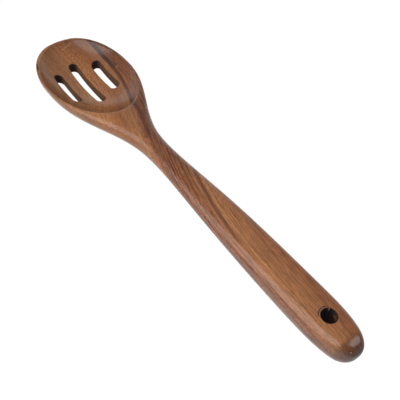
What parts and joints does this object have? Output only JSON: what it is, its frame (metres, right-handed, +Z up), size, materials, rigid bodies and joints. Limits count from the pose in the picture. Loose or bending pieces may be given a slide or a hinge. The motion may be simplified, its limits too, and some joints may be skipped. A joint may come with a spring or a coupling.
{
  "type": "slotted serving spoon",
  "caption": "Wooden serving spoon carved in one piece, with a slotted oval bowl, a narrow neck, a thick tapering handle with a rounded end, and a hanging hole.",
  "frame": {"origin": "on the table that the spoon lies on, under the middle of its length and width", "axes": "+X along the spoon, from the handle's end to the bowl's tip; +Z up, out of the bowl's hollow; +Y across the spoon"},
  "size_m": [0.32, 0.0668, 0.0228],
  "materials": {
    "lacquered_wood": "satin lacquer on brown acacia"
  },
  "bodies": {
    "root": {"spoon": "lacquered_wood"}
  },
  "joints": []
}
